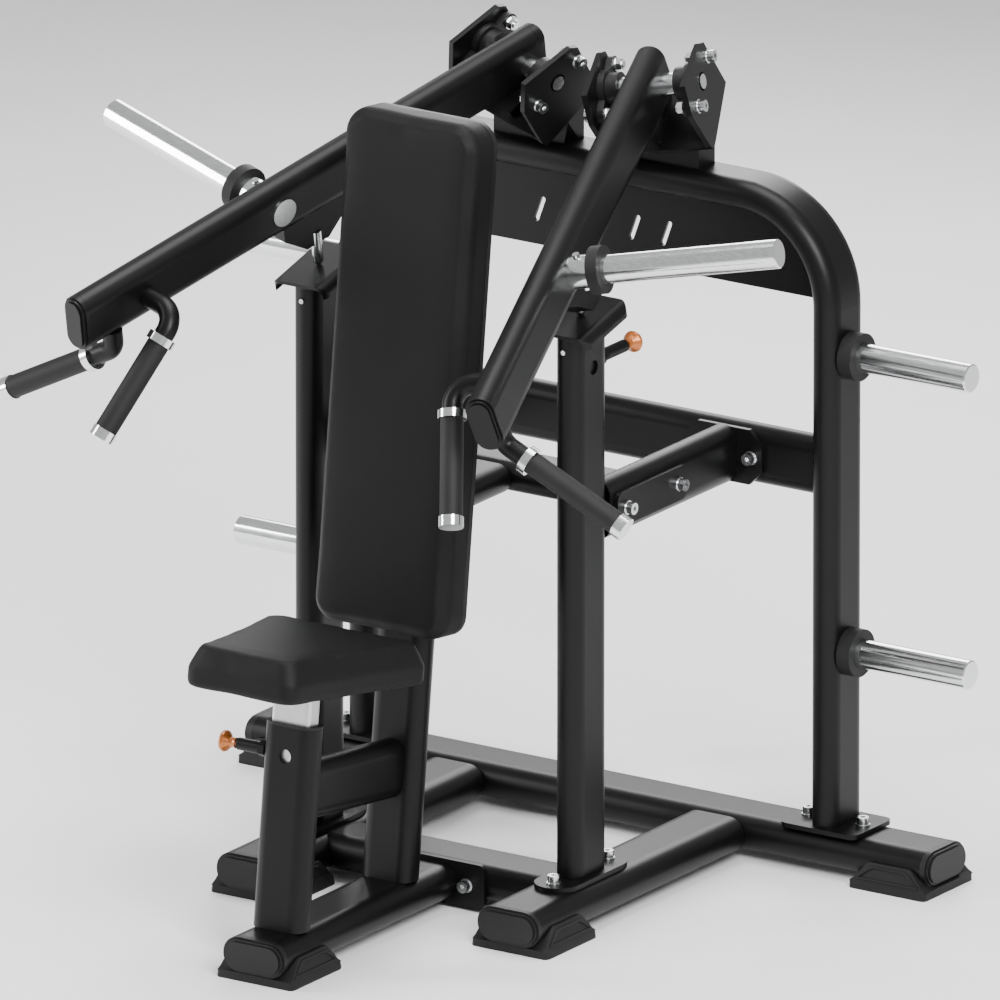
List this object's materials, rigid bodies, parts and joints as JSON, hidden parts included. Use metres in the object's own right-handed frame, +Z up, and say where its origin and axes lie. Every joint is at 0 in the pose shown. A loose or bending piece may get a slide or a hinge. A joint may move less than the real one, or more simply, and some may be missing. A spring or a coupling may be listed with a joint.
{
  "type": "chest press machine",
  "caption": "Plate-loaded shoulder and chest press bench with converging pivoted arms, weight horns, reclined backrest and height-adjustable seat.",
  "frame": {"origin": "on the floor under the centre of the machine's bounding box", "axes": "+X to the side of the right-hand arm, +Y to the rear arch, +Z up"},
  "size_m": [1.436, 1.1635, 1.3746],
  "materials": {
    "satin_black": "satin powder coat with a fine grain",
    "rubber_black": "matte moulded rubber",
    "plastic_black": "matte moulded plastic",
    "bright_zinc": "bright plated",
    "chrome": "polished",
    "bearing_iron": "black painted casting",
    "upholstery": "fine-grained synthetic leather",
    "brushed_steel": "brushed",
    "copper_knob": "metallic copper orange"
  },
  "bodies": {
    "frame": {"rear_base_tube": "satin_black", "rear_arch": "satin_black", "arch_web_plate": "satin_black", "mid_crossbar": "satin_black", "side_rails": "satin_black", "rail_plates": "satin_black", "back_tee_frame": "satin_black", "base_side_rails": "satin_black", "base_cross_tube": "satin_black", "centre_base_tube": "satin_black", "base_joint_bracket": "satin_black", "seat_post": "satin_black", "seat_link_tube": "satin_black", "back_upright": "satin_black", "stop_posts": "satin_black", "post_foot_plates": "satin_black", "end_caps": "plastic_black", "rubber_feet": "rubber_black", "frame_bolts": "bright_zinc", "bearing_bolts": "bright_zinc", "storage_horns": "chrome", "storage_collars": "rubber_black", "pivot_brackets": "satin_black", "bearing_housings": "bearing_iron", "tube_bushes": "plastic_black", "backrest_pad": "upholstery", "backrest_board": "plastic_black", "pull_pin_barrels": "satin_black", "catch_right": "satin_black", "catch_left": "satin_black"},
    "right_arm": {"press_arm_right": "satin_black", "pivot_shaft_right": "bright_zinc", "horn_sleeve_right": "chrome", "weight_horn_right": "chrome", "horn_collar_right": "rubber_black", "handle_tubes_right": "satin_black", "handle_grips_right": "rubber_black", "handle_trims_right": "chrome", "stop_bracket_right": "satin_black", "stop_pin_right": "bright_zinc"},
    "left_arm": {"press_arm_left": "satin_black", "pivot_shaft_left": "bright_zinc", "horn_sleeve_left": "chrome", "weight_horn_left": "chrome", "horn_collar_left": "rubber_black", "handle_tubes_left": "satin_black", "handle_grips_left": "rubber_black", "handle_trims_left": "chrome", "stop_bracket_left": "satin_black", "stop_pin_left": "bright_zinc"},
    "seat": {"seat_slide_tube": "brushed_steel", "seat_base_plate": "satin_black", "seat_cushion": "upholstery"},
    "seat_pull_pin": {"seat_pin": "bright_zinc", "seat_pin_knob": "copper_knob"},
    "right_catch_pull_pin": {"catch_pin_right": "bright_zinc", "catch_pin_knob_right": "copper_knob"},
    "left_catch_pull_pin": {"catch_pin_left": "bright_zinc", "catch_pin_knob_left": "copper_knob"}
  },
  "joints": [
    {"name": "right_arm_pivot", "type": "hinge", "parent": "frame", "child": "right_arm", "pos_m": [0.128, 0.44564, 1.299], "axis": [-0.9561, -0.2207, -0.1925], "range_deg": [0, 45]},
    {"name": "left_arm_pivot", "type": "hinge", "parent": "frame", "child": "left_arm", "pos_m": [-0.128, 0.44564, 1.299], "axis": [-0.9561, 0.2207, 0.1925], "range_deg": [0, 45]},
    {"name": "seat_height", "type": "slide", "parent": "frame", "child": "seat", "axis": [0, 0.1184, 0.993], "range_m": [-0.04, 0.12]},
    {"name": "seat_pin_pull", "type": "slide", "parent": "frame", "child": "seat_pull_pin", "axis": [-1, 0, 0], "range_m": [0, 0.01], "stiffness_N_per_m": 1500, "springref_m": -0.002},
    {"name": "right_catch_pin_pull", "type": "slide", "parent": "frame", "child": "right_catch_pull_pin", "axis": [0, 1, 0], "range_m": [0, 0.01], "stiffness_N_per_m": 1500, "springref_m": -0.002},
    {"name": "left_catch_pin_pull", "type": "slide", "parent": "frame", "child": "left_catch_pull_pin", "axis": [0, 1, 0], "range_m": [0, 0.01], "stiffness_N_per_m": 1500, "springref_m": -0.002}
  ]
}
